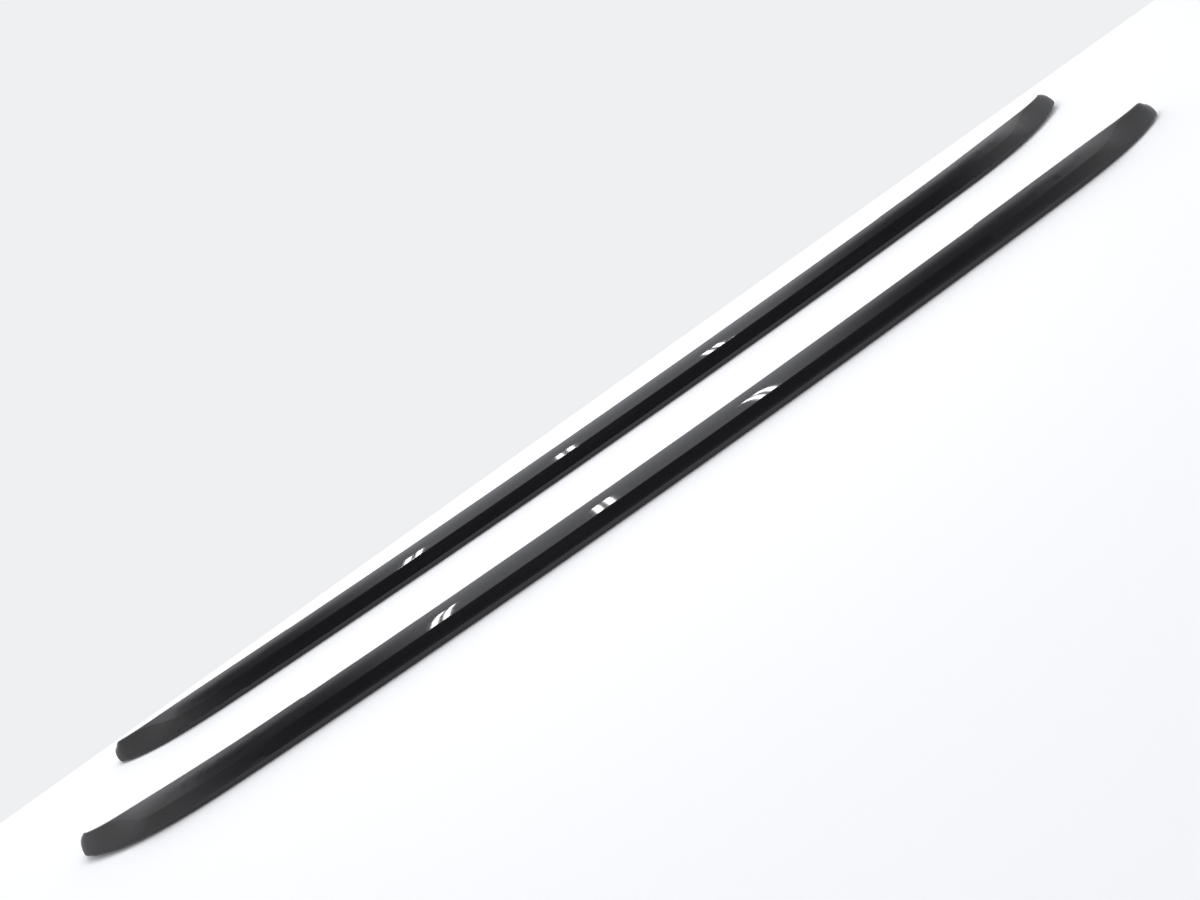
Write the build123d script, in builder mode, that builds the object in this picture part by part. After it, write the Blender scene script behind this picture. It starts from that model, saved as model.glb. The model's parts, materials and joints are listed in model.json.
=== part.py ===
from build123d import *
import os
from collections import namedtuple
from math import asin, cos, degrees, radians, sin, sqrt

# A pair of flush roof side rails for a car, laid side by side on their inner sides.
# X runs along the rails and Z across the car. The crown, which is the top on the car,
# faces -Y, and the base, which sits on the roof, faces +Y. Sizes are in millimetres.

# The run of one rail
rail_length = 1860.0
arch_radius = 12300.0
section_depth = 44.3
section_width = 33.0
wall = 2.6

# The section: a narrow strip, the crown facet, a crease and the outer side
strip_height = 9.0
strip_lean = 0.8
crease_depth = 8.3
crease_height = 27.2
crown_bulge = 0.6
outer_bulge = 2.0
inner_front_radius = 4.0
strip_radius = 6.0
crease_radius = 1.8
base_edge_radius = 1.4

# The ends, which bend to the roof and narrow to a tongue
front_end_run = 320.0
front_crown_drop = 51.3
front_crown_power = 3.7
front_base_drop = 26.6
front_tail_run = 76.0
front_tail_drop = 14.7
front_inner_lift = 7.0
front_outer_taper = 6.5
front_corner_run = 13.0
front_corner_drop = 4.3
rear_end_run = 277.0
rear_crown_drop = 35.1
rear_crown_power = 3.8
rear_base_drop = 1.3
rear_tail_run = 84.0
rear_tail_drop = 12.2
rear_inner_lift = 2.0
rear_outer_taper = 4.4
rear_corner_run = 24.5
rear_corner_drop = 9.5
base_power = 2.0
tail_power = 2.5
side_power = 3.0
corner_power = 3.0
tip_lean = 17.5
tip_lean_run = 120.0
crease_merge_start = 140.0
crease_merge_end = 40.0
tongue_strip = 0.5
tongue_edge = 3.0
tongue_edge_rise = 1.2
tip_radius = 2.4
tip_solid = 40.0
lead_in = 60.0
end_steps = 18
tip_steps = 4
hollow_steps = 16
station_crowding = 2.0

# The hollow of the channel, set in from the corners of the section
hollow_crease_in = 0.6 * wall
hollow_crease_down = 0.95 * wall
hollow_strip_down = 0.25 * wall
hollow_side_in = 1.2 * wall
hollow_overrun = 2 * wall

# The fixings in the channel
slot_width = 16.0
slot_centre = (wall + section_width - hollow_side_in) / 2
fixing_count = 5
fixing_inset = 30.0
block_length = 40.0
block_height = 7.0
block_clearance = 0.15
block_side_gap = 0.8
shank_radius = 3.6
stud_radius = 3.0
stud_reach = 18.0
stud_clearance = 0.1
head_across_flats = 10.0
head_height = 4.0
stud_chamfer = 0.8

# The rubber pieces
gasket_thickness = 2.5
gasket_inset = 4.0
seat_gap = 0.05
pad_seat_gap = 0.15
pad_inset = 1.0
pad_end_gap = 3.0
pad_tip_gap = 5.0
lug_distance = 165.0
lug_length = 30.0
lug_depth = 8.0
lug_gap = 1.4
seal_radius = 7.5
seal_thickness = 4.0
seal_clearance = 0.5
seal_chamfer = 0.8

# How the two rails lie together
rail_spacing = 227.0
rail_shift = 19.7

End = namedtuple(
    "End",
    "side end_run crown_drop crown_power base_drop tail_run tail_drop "
    "inner_lift outer_taper corner_run corner_drop",
)
front = End(
    -1,
    front_end_run,
    front_crown_drop,
    front_crown_power,
    front_base_drop,
    front_tail_run,
    front_tail_drop,
    front_inner_lift,
    front_outer_taper,
    front_corner_run,
    front_corner_drop,
)
rear = End(
    1,
    rear_end_run,
    rear_crown_drop,
    rear_crown_power,
    rear_base_drop,
    rear_tail_run,
    rear_tail_drop,
    rear_inner_lift,
    rear_outer_taper,
    rear_corner_run,
    rear_corner_drop,
)

arch_axis = Axis((0, arch_radius, 0), (0, 0, 1))
half_angle = asin(rail_length / 2 / arch_radius)
run_start = (front.end_run + lead_in) / arch_radius - half_angle
run_stop = half_angle - (rear.end_run + lead_in) / arch_radius
run_arc = degrees(run_stop - run_start)
first_fixing = run_start + fixing_inset / arch_radius
last_fixing = run_stop - fixing_inset / arch_radius
fixing_step = (last_fixing - first_fixing) / (fixing_count - 1)
fixing_angles = [first_fixing + index * fixing_step for index in range(fixing_count)]
block_front = section_depth - wall - block_clearance - block_height
shank_end = section_depth + seat_gap + seal_thickness


def arch_plane(angle):
    """A plane across the rail: its x is the depth from the crown, its y is Z."""
    return Plane(
        origin=(arch_radius * sin(angle), arch_radius * (1 - cos(angle)), 0),
        x_dir=(-sin(angle), cos(angle), 0),
        z_dir=(cos(angle), sin(angle), 0),
    )


def progress(distance, run):
    """From 0 where a run starts to 1 at the tip."""
    return max(0.0, 1 - distance / run)


def crown_depth(end, distance):
    """Depth of the crown line, which drops to the roof ever more steeply."""
    return end.crown_drop * progress(distance, end.end_run) ** end.crown_power


def base_depth(end, distance):
    """Depth of the base line, which follows the roof and then dips with the tongue."""
    fall = end.base_drop * progress(distance, end.end_run) ** base_power
    return section_depth + fall + end.tail_drop * progress(distance, end.tail_run) ** tail_power


def end_plane(end, distance):
    """The plane across an end at a distance from the tip, where its base side leans outwards."""
    across = arch_plane(end.side * (half_angle - distance / arch_radius))
    lean = radians(end.side * tip_lean * progress(distance, tip_lean_run) ** 2)
    depth_dir = across.x_dir * cos(lean) + across.z_dir * sin(lean)
    crown = crown_depth(end, distance)
    return Plane(
        origin=across.from_local_coords((crown, 0, 0)) - depth_dir * crown,
        x_dir=depth_dir,
        z_dir=across.z_dir * cos(lean) - across.x_dir * sin(lean),
    )


def inner_height(end, distance):
    """Height of the inner side, which lifts a little towards the tip."""
    return end.inner_lift * progress(distance, end.end_run) ** side_power


def outer_height(end, distance):
    """Height of the outer side, which tapers and then rounds off at the tip."""
    taper = end.outer_taper * progress(distance, end.end_run) ** side_power
    corner = end.corner_drop * progress(distance, end.corner_run) ** corner_power
    return section_width - taper - corner


def crease_merge(distance):
    """From 0 where the crease leaves its line to 1 where it meets the outer edge."""
    along = (crease_merge_start - distance) / (crease_merge_start - crease_merge_end)
    along = min(1.0, max(0.0, along))
    return along**3 * (10 - 15 * along + 6 * along**2)


def strip_share(distance):
    """The part of the strip that is left, which is less on the tongue."""
    return 1 - (1 - tongue_strip) * crease_merge(distance)


def tip_inset(distance):
    """How far the section is set in to round the edge of the tip."""
    return tip_radius * (1 - sqrt(1 - progress(distance, tip_radius) ** 2))


def section_corners(end, distance, inset=0.0):
    """The five corners of the section, set in all round, with the scale of its small features."""
    crown = crown_depth(end, distance) + inset
    base = base_depth(end, distance) - inset
    inner = inner_height(end, distance) + inset
    outer = outer_height(end, distance) - inset
    scale = (outer - inner) / section_width
    merge = crease_merge(distance)
    strip = strip_height * strip_share(distance)
    crease = (
        (1 - merge) * (crown + crease_depth * scale) + merge * (base - tongue_edge * scale),
        (1 - merge) * (inner + crease_height * scale) + merge * (outer - tongue_edge_rise * scale),
    )
    corners = (
        (base, inner),
        (crown, inner),
        (crown + strip_lean * scale, inner + strip * scale),
        crease,
        (base, outer),
    )
    return corners, scale


def hollow_corners(end, distance, past_base):
    """The five corners of the hollow, which ends at a depth past the base."""
    corners, scale = section_corners(end, distance)
    inner_base, inner_front, strip_top, crease, outer_base = corners
    hollow = (
        (inner_base[0] + past_base, inner_base[1] + wall),
        (inner_front[0] + wall, inner_front[1] + wall),
        (strip_top[0] + wall, strip_top[1] - hollow_strip_down),
        (crease[0] + hollow_crease_in, crease[1] - hollow_crease_down),
        (outer_base[0] + past_base, outer_base[1] - hollow_side_in),
    )
    return hollow, scale


def bulged_line(start, end, rise):
    """A shallow arc that stands out to the left of the line from start to end."""
    across = Vector(end) - Vector(start)
    middle = (Vector(start) + Vector(end)) * 0.5
    return ThreePointArc(start, middle + Vector(-across.Y, across.X).normalized() * rise, end)


def draw_section(corners, scale):
    """The closed outline of the section with sharp corners."""
    inner_base, inner_front, strip_top, crease, outer_base = corners
    side_length = (Vector(outer_base) - Vector(crease)).length
    full_length = section_depth - crease_depth
    with BuildLine() as outline:
        Polyline(outer_base, inner_base, inner_front, strip_top)
        bulged_line(strip_top, crease, crown_bulge * scale)
        bulged_line(crease, outer_base, outer_bulge * (side_length / full_length) ** 2)
    make_face(outline.edges())


def round_section(corners, scale, strip):
    """Rounds the five corners of the section."""
    radii = (
        base_edge_radius,
        inner_front_radius * strip,
        strip_radius * strip,
        crease_radius,
        base_edge_radius,
    )
    for corner, radius in zip(corners, radii):
        fillet(vertices().sort_by_distance(corner)[0], radius * scale)


def draw_end_section(end, distance):
    """The rounded section of an end at a distance from its tip."""
    corners, scale = section_corners(end, distance, tip_inset(distance))
    with BuildSketch(end_plane(end, distance)) as section:
        draw_section(corners, scale)
        round_section(corners, scale, strip_share(distance))
    return section.sketch


def end_stations(first, last, steps):
    """Distances from the tip at which an end is drawn, closer together towards the last one."""
    shares = [1 - step / steps for step in range(steps + 1)]
    return [last + (first - last) * share**station_crowding for share in shares]


def fixing_plane(angle, depth):
    """A plane on the slot's middle line, at a depth from the crown, that faces the roof."""
    across = arch_plane(angle)
    return Plane(
        origin=across.from_local_coords((depth, slot_centre, 0)),
        x_dir=across.z_dir,
        z_dir=across.x_dir,
    )


def fixing_axis(angle):
    """The line of one stud, pointing at the roof."""
    seat = fixing_plane(angle, 0)
    return Axis(seat.origin, seat.z_dir)


# The channel of the right rail: a bowed run with two bent ends, hollow and open at the base
with BuildPart() as rail:
    run_plane = arch_plane(run_start)
    run_end = front.end_run + lead_in
    run_corners, run_scale = section_corners(front, run_end)
    with BuildSketch(run_plane):
        draw_section(run_corners, run_scale)
        round_section(run_corners, run_scale, strip_share(run_end))
    revolve(axis=arch_axis, revolution_arc=run_arc)
    for end in (front, rear):
        taper = end_stations(end.end_run + lead_in, tip_radius, end_steps)
        loft([draw_end_section(end, distance) for distance in taper])
        tip = end_stations(tip_radius, 0.0, tip_steps)
        loft([draw_end_section(end, distance) for distance in tip])
    with BuildSketch(run_plane):
        draw_section(*hollow_corners(front, run_end, -wall))
        with Locations((section_depth - wall, slot_centre)):
            Rectangle(2 * hollow_overrun, slot_width)
    revolve(axis=arch_axis, revolution_arc=run_arc, mode=Mode.SUBTRACT)
    for end in (front, rear):
        for distance in end_stations(end.end_run + lead_in, tip_solid, hollow_steps):
            with BuildSketch(end_plane(end, distance)):
                draw_section(*hollow_corners(end, distance, hollow_overrun))
        loft(mode=Mode.SUBTRACT)

# The rubber strip between the base of the run and the roof
with BuildPart() as gasket:
    with BuildSketch(run_plane):
        with Locations((section_depth + seat_gap, gasket_inset)):
            Rectangle(
                gasket_thickness - seat_gap,
                section_width - 2 * gasket_inset,
                align=(Align.MIN, Align.MIN),
            )
    revolve(axis=arch_axis, revolution_arc=run_arc)
    for angle in fixing_angles:
        with BuildSketch(fixing_plane(angle, section_depth)):
            Circle(seal_radius + seal_clearance)
        extrude(amount=2 * gasket_thickness, mode=Mode.SUBTRACT)


def end_pad(end):
    """The moulded plate that closes the open base of one end, with a lug in the channel."""
    with BuildPart() as pad:
        pad_start = end.end_run + lead_in - pad_end_gap
        for distance in end_stations(pad_start, pad_tip_gap, end_steps):
            seat = base_depth(end, distance) + pad_seat_gap
            floor = inner_height(end, distance) + pad_inset
            width = outer_height(end, distance) - pad_inset - floor
            with BuildSketch(end_plane(end, distance)):
                with Locations((seat, floor)):
                    Rectangle(gasket_thickness - pad_seat_gap, width, align=(Align.MIN, Align.MIN))
        loft()
        lug_floor = inner_height(end, lug_distance) + wall + lug_gap
        lug_width = outer_height(end, lug_distance) - wall - lug_gap - lug_floor
        lug_front = base_depth(end, lug_distance) - lug_depth
        with BuildSketch(end_plane(end, lug_distance)):
            with Locations((lug_front, lug_floor)):
                Rectangle(lug_depth + gasket_thickness / 2, lug_width, align=(Align.MIN, Align.MIN))
        extrude(amount=lug_length / 2, both=True)
    return pad.part


def foot_block(angle):
    """A cast block behind the lips of the channel, with a neck in the slot and a bore for its stud."""
    with BuildPart() as block:
        with BuildSketch(arch_plane(angle)):
            with Locations((block_front, wall + block_side_gap)):
                Rectangle(
                    block_height,
                    section_width - 2 * (wall + block_side_gap),
                    align=(Align.MIN, Align.MIN),
                )
            with Locations((block_front, slot_centre)):
                Rectangle(
                    section_depth - block_front,
                    slot_width - 2 * block_clearance,
                    align=(Align.MIN, Align.CENTER),
                )
        extrude(amount=block_length / 2, both=True)
        with BuildSketch(fixing_plane(angle, block_front)):
            Circle(shank_radius + stud_clearance)
        extrude(amount=2 * (section_depth - block_front), mode=Mode.SUBTRACT)
    return block.part


def stud(angle):
    """A stud whose hexagon head bears on the foot block inside the channel."""
    with BuildPart() as pin:
        with BuildSketch(fixing_plane(angle, block_front)):
            RegularPolygon(head_across_flats / 2, 6, major_radius=False)
        extrude(amount=-head_height)
        with BuildSketch(fixing_plane(angle, block_front)):
            Circle(shank_radius)
        extrude(amount=shank_end - block_front)
        with BuildSketch(fixing_plane(angle, shank_end)):
            Circle(stud_radius)
        extrude(amount=stud_reach)
        chamfer(pin.edges().filter_by(GeomType.CIRCLE).sort_by(fixing_axis(angle))[-1], stud_chamfer)
    return pin.part


def stud_seal(angle):
    """The sealing ring round a stud, which sits on the neck of its foot block."""
    with BuildPart() as ring:
        with BuildSketch(fixing_plane(angle, section_depth + seat_gap)):
            Circle(seal_radius)
            Circle(shank_radius + stud_clearance, mode=Mode.SUBTRACT)
        extrude(amount=seal_thickness)
        chamfer(ring.edges().filter_by(GeomType.CIRCLE).group_by(SortBy.RADIUS)[-1], seal_chamfer)
    return ring.part


pieces = {
    "rail": rail.part,
    "base_gasket": gasket.part,
    "front_pad": end_pad(front),
    "rear_pad": end_pad(rear),
}
for number, angle in enumerate(fixing_angles, start=1):
    pieces[f"foot_block_{number}"] = foot_block(angle)
    pieces[f"stud_{number}"] = stud(angle)
    pieces[f"stud_seal_{number}"] = stud_seal(angle)

# The pair: the right rail lies in front, and the left one behind it is its mirror image
rail_box = Compound(children=list(pieces.values())).bounding_box()
right_place = Location((-rail_shift / 2, -(rail_box.min.Y + rail_box.max.Y + rail_spacing) / 2, 0))
left_place = Location((0, rail_spacing, 0))

os.makedirs("parts", exist_ok=True)
for name, piece in pieces.items():
    with BuildPart() as right_piece:
        add(piece.moved(right_place))
    right_piece.part.label = f"right_{name}"
    export_step(right_piece.part, f"parts/right_{name}.step")
    with BuildPart() as left_piece:
        add(right_piece.part.mirror(Plane.YZ).moved(left_place))
    left_piece.part.label = f"left_{name}"
    export_step(left_piece.part, f"parts/left_{name}.step")
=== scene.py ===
import json
from math import pi, radians, sqrt

import bmesh
import bpy
from mathutils import Matrix, Vector


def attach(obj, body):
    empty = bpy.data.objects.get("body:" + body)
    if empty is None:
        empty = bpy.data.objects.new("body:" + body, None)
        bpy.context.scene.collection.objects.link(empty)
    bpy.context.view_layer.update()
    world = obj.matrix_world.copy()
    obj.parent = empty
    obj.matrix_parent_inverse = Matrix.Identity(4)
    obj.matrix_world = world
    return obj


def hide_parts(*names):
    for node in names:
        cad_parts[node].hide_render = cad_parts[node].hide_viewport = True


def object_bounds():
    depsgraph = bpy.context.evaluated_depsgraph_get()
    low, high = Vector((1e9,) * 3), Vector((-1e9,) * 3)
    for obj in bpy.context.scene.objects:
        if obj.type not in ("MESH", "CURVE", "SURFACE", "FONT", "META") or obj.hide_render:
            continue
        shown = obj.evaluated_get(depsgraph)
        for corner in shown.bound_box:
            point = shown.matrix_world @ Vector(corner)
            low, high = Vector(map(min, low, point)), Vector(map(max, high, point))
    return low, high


# Two gloss black roof side rails on a pale floor, in metres: X along them, Y behind them, Z up

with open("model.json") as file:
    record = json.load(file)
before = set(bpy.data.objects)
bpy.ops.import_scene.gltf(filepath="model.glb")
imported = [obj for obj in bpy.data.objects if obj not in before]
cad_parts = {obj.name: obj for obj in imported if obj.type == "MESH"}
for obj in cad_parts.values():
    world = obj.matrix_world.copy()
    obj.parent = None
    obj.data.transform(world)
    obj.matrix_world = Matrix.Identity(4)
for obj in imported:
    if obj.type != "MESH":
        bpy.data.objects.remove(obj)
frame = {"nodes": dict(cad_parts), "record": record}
first_low, first_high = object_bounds()
nodes = frame["nodes"]

# The camera stands in front of the rails and is rolled, so that they cross the picture
camera_place = (-0.1143, -1.4210, 0.6693)
camera_heading = radians(-3.42)
camera_elevation = radians(24.24)
camera_roll = radians(-33.55)
camera_lens = 31.413
camera_sensor = 36.0

# The floor is white, and pale grey like the wall beyond a line behind the rails and far away
floor_size = 60.0
floor_line_y = 0.2485
floor_line_slope = 0.0314
floor_line_blur = 0.002
floor_far = (1.8, 5.0)
floor_white = (0.96, 0.96, 0.965)
floor_roughness = 0.9
floor_shine = 0.1
floor_lift = 0.05
wall_grey = (0.863, 0.871, 0.888)

# Three pairs of ceiling tubes run across the rails
tube_length = 1.2
tube_width = 0.026
tube_height = 1.9
tube_middle_y = 0.8
tube_gap = 0.05
tube_pitch = 0.69
tube_middle_x = -0.02
tube_radiance = 32.0

# The room that the paint mirrors: pale walls, a ceiling that is lit in the middle, and a dim front
room_low = wall_grey
room_high = (1.22, 1.24, 1.31)
room_rise = (0.12, 0.45)
room_dim = (0.14, 0.14, 0.16)
front_dim_rise = (0.05, 0.20)
front_dim_top = (0.90, 0.50)
front_dim_ahead = (0.0, -0.30)
front_dim_middle = 0.05
front_dim_reach = (0.72, 0.40)
ceiling_lit_middle = 0.05
ceiling_lit_edge = (0.36, 0.18)
ceiling_dim_rise = (0.35, 0.75)
ceiling_dim_end = (0.54, 0.42)

# The paint, its clear coat and their fine marks
paint_black = (0.004, 0.004, 0.0048)
paint_haze = (0.008, 0.008, 0.0098)
paint_roughness = (0.4, 0.6)
paint_shine = 0.05
coat_ior = 1.5
coat_roughness = 0.04
peel_scale = 90.0
peel_depth = 0.000001
scuff_scale = (3.0, 60.0, 60.0)
scuff_edge = (0.5, 0.75)
dust_grey = (0.05, 0.05, 0.052)
dust_scale = 420.0
dust_size = 0.10
dust_free_share = 0.93

# The rubber of the gaskets, pads and seals
rubber_black = (0.014, 0.014, 0.015)
rubber_grey = (0.03, 0.03, 0.031)
rubber_roughness = (0.7, 0.85)
bloom_scale = 40.0
bloom_edge = (0.4, 0.7)
grain_scale = 1400.0
grain_depth = 0.00005

# The cast foot blocks
cast_dark = (0.42, 0.42, 0.43)
cast_pale = (0.62, 0.62, 0.63)
cast_roughness = (0.4, 0.65)
sand_scale = 900.0
sand_depth = 0.0001

# The plated studs
plated_dark = (0.55, 0.54, 0.50)
plated_pale = (0.68, 0.67, 0.64)
plated_roughness = (0.25, 0.4)
tint_scale = 200.0
thread_pitch = 0.001
thread_depth = 0.0003

# The ends of the tongues, which are made rounder than on the solids
tip_reach = 0.024
tip_across = Vector((0, 0.45, 0.89)).normalized()
tip_top_end = 0.003
tip_top_pull = 0.009
tip_foot_end = 0.012
tip_foot_pull = 0.008
tip_fade = 1.5
tip_off_limit = 0.99
tip_cuts = 16
tip_snap = 0.000001
tip_step = 0.00001

# The pieces that have these ends, with their finishes
rounded_kinds = {"_rail": "gloss_black", "_front_pad": "rubber", "_rear_pad": "rubber"}


class Tree:
    """A material or world tree with its output, and short ways to add its nodes."""

    def __init__(self, owner, output):
        owner.use_nodes = True
        self.tree = owner.node_tree
        self.tree.nodes.clear()
        self.output = self.add(output)

    def add(self, kind, **settings):
        node = self.tree.nodes.new("ShaderNode" + kind)
        for name, value in settings.items():
            setattr(node, name, value)
        return node

    def link(self, source, target):
        self.tree.links.new(source, target)

    def show(self, shader):
        """Gives the output this shader, in place of any other."""
        self.link(shader.outputs[0], self.output.inputs["Surface"])

    def split(self, place):
        """The X, Y and Z of a place or a direction."""
        node = self.add("SeparateXYZ")
        self.link(place, node.inputs[0])
        return node.outputs

    def math(self, operation, first, second=0.0):
        """One sum on two sockets or numbers."""
        node = self.add("Math", operation=operation)
        for socket, value in zip(node.inputs, (first, second)):
            if isinstance(value, (int, float)):
                socket.default_value = value
            else:
                self.link(value, socket)
        return node.outputs[0]

    def ramp(self, value, start, stop):
        """From 0 at the start to 1 at the stop, smoothly."""
        node = self.add("MapRange", interpolation_type="SMOOTHSTEP")
        node.inputs["From Min"].default_value = start
        node.inputs["From Max"].default_value = stop
        self.link(value, node.inputs["Value"])
        return node.outputs["Result"]

    def span(self, value, low, high):
        """From one number to another as the value goes from 0 to 1."""
        node = self.add("MapRange")
        node.inputs["To Min"].default_value = low
        node.inputs["To Max"].default_value = high
        self.link(value, node.inputs["Value"])
        return node.outputs["Result"]

    def mix(self, factor, first, second):
        """Two colours, given as sockets or as red, green and blue."""
        node = self.add("Mix", data_type="RGBA")
        self.link(factor, node.inputs["Factor"])
        sockets = [socket for socket in node.inputs if socket.type == "RGBA"]
        for socket, value in zip(sockets, (first, second)):
            if isinstance(value, tuple):
                socket.default_value = (*value, 1)
            else:
                self.link(value, socket)
        return [socket for socket in node.outputs if socket.type == "RGBA"][0]

    def noise(self, place, scale, detail=2.0):
        node = self.add("TexNoise")
        node.inputs["Scale"].default_value = scale
        node.inputs["Detail"].default_value = detail
        self.link(place, node.inputs["Vector"])
        return node.outputs["Fac"]

    def bump(self, height, depth):
        node = self.add("Bump")
        node.inputs["Distance"].default_value = depth
        self.link(height, node.inputs["Height"])
        return node.outputs["Normal"]


def new_material(name):
    """A material with its tree, its shader and the object's own place."""
    material = bpy.data.materials.new(name)
    tree = Tree(material, "OutputMaterial")
    shader = tree.add("BsdfPrincipled")
    tree.show(shader)
    place = tree.add("TexCoord").outputs["Object"]
    return material, tree, shader, place


def paint_material():
    """Gloss black paint under a clear coat, with orange peel, faint scuffs and a little dust."""
    material, tree, shader, place = new_material("gloss_black_paint")
    shader.inputs["Specular IOR Level"].default_value = paint_shine
    shader.inputs["Coat Weight"].default_value = 1.0
    shader.inputs["Coat IOR"].default_value = coat_ior
    shader.inputs["Coat Roughness"].default_value = coat_roughness
    along = tree.add("Mapping")
    along.inputs["Scale"].default_value = scuff_scale
    tree.link(place, along.inputs["Vector"])
    streaks = tree.noise(along.outputs["Vector"], 1.0, detail=6.0)
    scuffs = tree.ramp(streaks, *scuff_edge)
    tree.link(tree.span(scuffs, *paint_roughness), shader.inputs["Roughness"])
    cells = tree.add("TexVoronoi", feature="F1")
    cells.inputs["Scale"].default_value = dust_scale
    tree.link(place, cells.inputs["Vector"])
    chosen = tree.add("SeparateColor")
    tree.link(cells.outputs["Color"], chosen.inputs["Color"])
    speck = tree.math("LESS_THAN", cells.outputs["Distance"], dust_size)
    dusty = tree.math("GREATER_THAN", chosen.outputs["Red"], dust_free_share)
    dust = tree.math("MULTIPLY", speck, dusty)
    black = tree.mix(scuffs, paint_black, paint_haze)
    tree.link(tree.mix(dust, black, dust_grey), shader.inputs["Base Color"])
    peel = tree.noise(place, peel_scale)
    tree.link(tree.bump(peel, peel_depth), shader.inputs["Coat Normal"])
    return material


def rubber_material():
    """Black rubber with a fine grain and a grey bloom."""
    material, tree, shader, place = new_material("black_rubber")
    bloom = tree.ramp(tree.noise(place, bloom_scale, detail=4.0), *bloom_edge)
    tree.link(tree.mix(bloom, rubber_black, rubber_grey), shader.inputs["Base Color"])
    tree.link(tree.span(bloom, *rubber_roughness), shader.inputs["Roughness"])
    grain = tree.noise(place, grain_scale)
    tree.link(tree.bump(grain, grain_depth), shader.inputs["Normal"])
    return material


def cast_material():
    """Cast aluminium with a sandy skin."""
    material, tree, shader, place = new_material("cast_aluminium")
    shader.inputs["Metallic"].default_value = 1.0
    sand = tree.noise(place, sand_scale, detail=4.0)
    tree.link(tree.mix(sand, cast_dark, cast_pale), shader.inputs["Base Color"])
    tree.link(tree.span(sand, *cast_roughness), shader.inputs["Roughness"])
    tree.link(tree.bump(sand, sand_depth), shader.inputs["Normal"])
    return material


def plated_material():
    """Zinc plated steel with a fine thread along the stud, which lies along Y."""
    material, tree, shader, place = new_material("plated_steel")
    shader.inputs["Metallic"].default_value = 1.0
    tint = tree.noise(place, tint_scale, detail=3.0)
    tree.link(tree.mix(tint, plated_dark, plated_pale), shader.inputs["Base Color"])
    tree.link(tree.span(tint, *plated_roughness), shader.inputs["Roughness"])
    turns = tree.math("MULTIPLY", tree.split(place)["Y"], 2 * pi / thread_pitch)
    tree.link(tree.bump(tree.math("SINE", turns), thread_depth), shader.inputs["Normal"])
    return material


def floor_material():
    """White, and beyond a straight line behind the rails the pale wall."""
    material, tree, shader, place = new_material("floor")
    shader.inputs["Base Color"].default_value = (*floor_white, 1)
    shader.inputs["Roughness"].default_value = floor_roughness
    shader.inputs["Specular IOR Level"].default_value = floor_shine
    parts = tree.split(place)
    lean = tree.math("MULTIPLY", parts["X"], floor_line_slope)
    past = tree.math("SUBTRACT", parts["Y"], lean)
    behind = tree.ramp(past, floor_line_y - floor_line_blur, floor_line_y + floor_line_blur)
    distance = tree.add("VectorMath", operation="LENGTH")
    tree.link(place, distance.inputs[0])
    far = tree.ramp(distance.outputs["Value"], *floor_far)
    beyond = tree.math("MAXIMUM", behind, far)
    # Only the camera sees the white lifted, and only the camera and reflections see the grey
    rays = tree.add("LightPath").outputs
    shader.inputs["Emission Color"].default_value = (1, 1, 1, 1)
    lift = tree.math("MULTIPLY", rays["Is Camera Ray"], floor_lift)
    tree.link(lift, shader.inputs["Emission Strength"])
    wall = tree.add("Emission")
    wall.inputs["Color"].default_value = (*wall_grey, 1)
    seen = tree.math("MAXIMUM", rays["Is Camera Ray"], rays["Is Glossy Ray"])
    both = tree.add("MixShader")
    tree.link(tree.math("MULTIPLY", beyond, seen), both.inputs["Fac"])
    tree.link(shader.outputs[0], both.inputs[1])
    tree.link(wall.outputs[0], both.inputs[2])
    tree.show(both)
    return material


def light_the_room():
    """The room, by the direction that light comes from. The camera sees an even grey instead.

    Each pair among its values says where a change starts and ends, on X, Y or Z of that direction.
    """
    world = bpy.data.worlds.new("room")
    bpy.context.scene.world = world
    tree = Tree(world, "OutputWorld")
    across, ahead, up = tree.split(tree.add("TexCoord").outputs["Generated"])
    sideways = tree.math("ABSOLUTE", tree.math("SUBTRACT", across, front_dim_middle))
    front = tree.math("MULTIPLY", tree.ramp(up, *front_dim_rise), tree.ramp(up, *front_dim_top))
    front = tree.math("MULTIPLY", front, tree.ramp(ahead, *front_dim_ahead))
    front = tree.math("MULTIPLY", front, tree.ramp(sideways, *front_dim_reach))
    from_lamps = tree.math("ABSOLUTE", tree.math("SUBTRACT", across, ceiling_lit_middle))
    lit = tree.ramp(from_lamps, *ceiling_lit_edge)
    ceiling = tree.math("SUBTRACT", tree.ramp(from_lamps, *ceiling_dim_end), lit)
    ceiling = tree.math("MULTIPLY", tree.ramp(up, *ceiling_dim_rise), ceiling)
    dim = tree.math("MAXIMUM", front, ceiling)
    bright = tree.math("MULTIPLY", tree.ramp(up, *room_rise), lit)
    room = tree.mix(dim, tree.mix(bright, room_low, room_high), room_dim)
    seen = tree.add("LightPath").outputs["Is Camera Ray"]
    background = tree.add("Background")
    tree.link(tree.mix(seen, room, wall_grey), background.inputs["Color"])
    tree.show(background)


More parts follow.
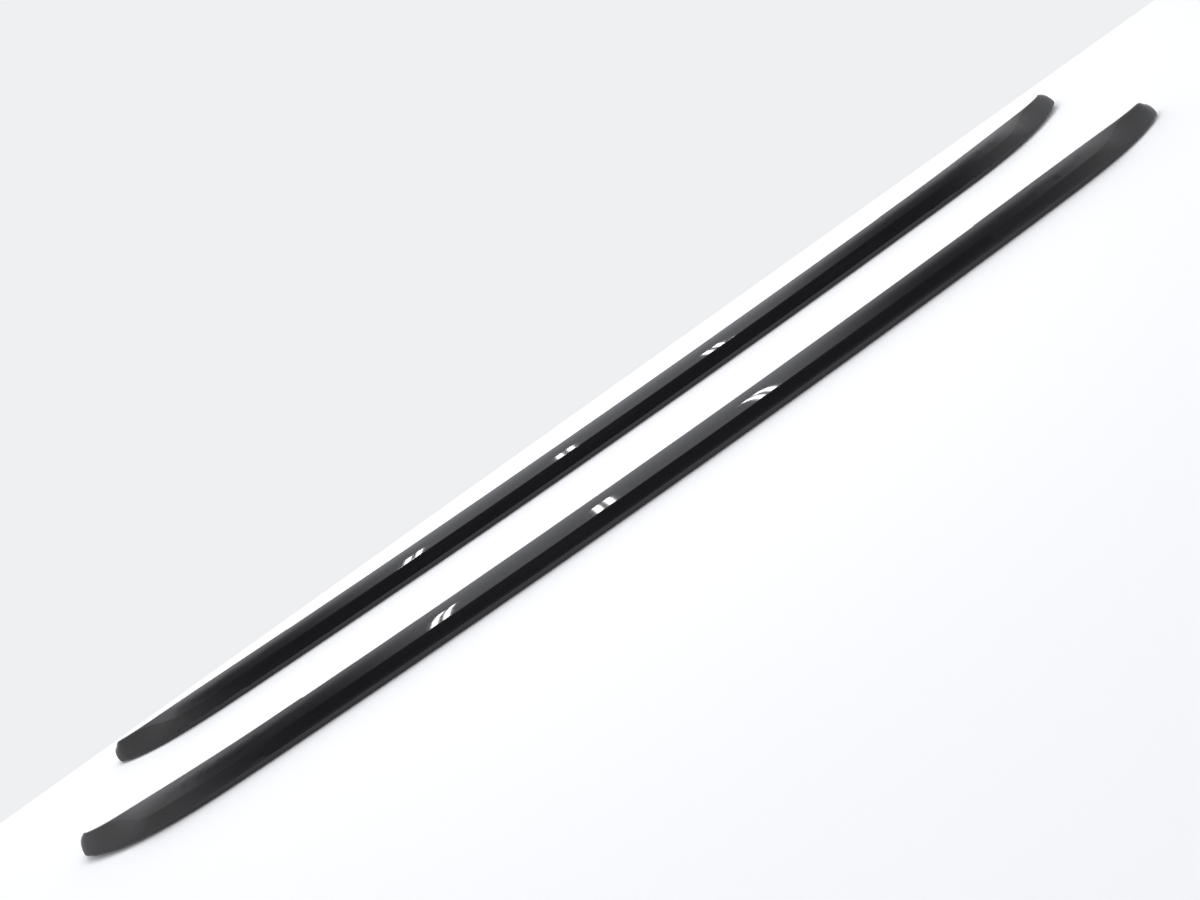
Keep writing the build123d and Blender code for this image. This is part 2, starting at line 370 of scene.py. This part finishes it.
class Tip:
    """One end of a rail, on the -X or the +X side.

    It is rounded by drawing points back along X, most at the top and the foot of the tongue.
    """

    def __init__(self, rail, side):
        places = [vert.co for vert in rail.data.vertices]
        self.side = side
        self.edge = max(side * place.x for place in places)
        self.start = self.edge - tip_reach
        foot = [place for place in places if side * place.x > self.edge - tip_foot_end]
        top = [place for place in places if side * place.x > self.edge - tip_top_end]
        self.low = min(tip_across.dot(place) for place in foot)
        self.high = max(tip_across.dot(place) for place in top)

    def pull(self, place):
        """How far a point is drawn back."""
        near = max(0.0, 1 - (self.edge - self.side * place.x) / tip_reach)
        share = (tip_across.dot(place) - self.low) / (self.high - self.low)
        off = min(tip_off_limit, abs(2 * share - 1))
        most = tip_top_pull if share > 0.5 else tip_foot_pull
        return most * near**tip_fade * (1 - sqrt(1 - off * off))

    def slopes(self, place):
        """How fast a point's move along X changes with X, Y and Z."""
        found = []
        for axis in Matrix.Identity(3):
            step = axis * tip_step
            change = self.pull(place + step) - self.pull(place - step)
            found.append(-self.side * change / (2 * tip_step))
        return found

    def slice(self, mesh, place, normal):
        """Cuts the faces near the tip along a plane, so that they can bend there."""
        faces = []
        for face in mesh.faces:
            if max(self.side * vert.co.x for vert in face.verts) > self.start:
                faces.append(face)
        edges = {edge for face in faces for edge in face.edges}
        verts = {vert for face in faces for vert in face.verts}
        near = [*verts, *edges, *faces]
        bmesh.ops.bisect_plane(mesh, geom=near, plane_co=place, plane_no=normal, dist=tip_snap)

    def bend(self, mesh, shading):
        """Rounds the end of a rail or of its pad, and turns the normals with it."""
        for cut in range(1, tip_cuts):
            share = cut / tip_cuts
            height = self.low + (self.high - self.low) * share
            back = self.edge - tip_reach * share
            self.slice(mesh, tip_across * height, tip_across)
            self.slice(mesh, Vector((self.side * back, 0, 0)), Vector((1, 0, 0)))
        for vert in mesh.verts:
            if self.side * vert.co.x > self.start:
                self.draw_back(vert, shading)

    def draw_back(self, vert, shading):
        """Moves one point, and turns the normals of its faces there."""
        slope_x, slope_y, slope_z = self.slopes(vert.co)
        for loop in vert.link_loops:
            normal = loop[shading].copy()
            normal.x /= 1 + slope_x
            normal.y -= slope_y * normal.x
            normal.z -= slope_z * normal.x
            loop[shading] = normal.normalized()
        vert.co.x -= self.side * self.pull(vert.co)


def rounded_piece(node, tips):
    """A piece that stands for a rail or a pad, rounded at the tips of the rail."""
    mesh = bmesh.new()
    mesh.from_mesh(node.data)
    shading = mesh.loops.layers.float_vector.new("shading")
    normals = iter(node.data.corner_normals)
    for face in mesh.faces:
        for loop in face.loops:
            loop[shading] = next(normals).vector
    for tip in tips:
        tip.bend(mesh, shading)
    turned = [loop[shading].copy() for face in mesh.faces for loop in face.loops]
    mesh.loops.layers.float_vector.remove(shading)
    shape = bpy.data.meshes.new(node.name + "_rounded")
    mesh.to_mesh(shape)
    mesh.free()
    shape.shade_smooth()
    shape.normals_split_custom_set(turned)
    piece = bpy.data.objects.new(node.name + "_rounded", shape)
    bpy.context.scene.collection.objects.link(piece)
    return piece


# The finishes of the nodes
finishes = {
    "gloss_black": paint_material(),
    "rubber": rubber_material(),
    "cast_aluminium": cast_material(),
    "plated_steel": plated_material(),
}
for part in frame["record"]["subparts"]:
    piece = nodes[part["node"]]
    piece.data.materials.clear()
    piece.data.materials.append(finishes[part["material_slot"]])

# The rails and their pads with rounded ends
for rail in ("right", "left"):
    tips = [Tip(nodes[rail + "_rail"], side) for side in (-1, 1)]
    for kind, finish in rounded_kinds.items():
        piece = rounded_piece(nodes[rail + kind], tips)
        piece.data.materials.append(finishes[finish])
        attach(piece, "root")
        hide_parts(rail + kind)

# The floor
bpy.ops.mesh.primitive_plane_add(size=floor_size, location=(0, 0, first_low.z))
floor = bpy.context.object
floor.name = "floor"
floor.data.materials.append(floor_material())

# The tubes
for pair in (-1, 0, 1):
    for side in (-1, 1):
        tube = bpy.data.lights.new("tube", "AREA")
        tube.shape = "RECTANGLE"
        tube.size = tube_width
        tube.size_y = tube_length
        tube.energy = tube_radiance * pi * tube_width * tube_length
        lamp = bpy.data.objects.new("tube", tube)
        lamp.location = (
            tube_middle_x + pair * tube_pitch + side * tube_gap / 2,
            tube_middle_y,
            tube_height,
        )
        bpy.context.scene.collection.objects.link(lamp)

# The room
light_the_room()

# The camera
lens = bpy.data.cameras.new("camera")
lens.lens = camera_lens
lens.sensor_width = camera_sensor
camera = bpy.data.objects.new("camera", lens)
turn = (
    Matrix.Rotation(camera_heading, 4, "Z")
    @ Matrix.Rotation(pi / 2 - camera_elevation, 4, "X")
    @ Matrix.Rotation(camera_roll, 4, "Z")
)
camera.matrix_world = Matrix.Translation(Vector(camera_place)) @ turn
bpy.context.scene.collection.objects.link(camera)
bpy.context.scene.camera = camera
bpy.context.scene.view_settings.view_transform = "Standard"
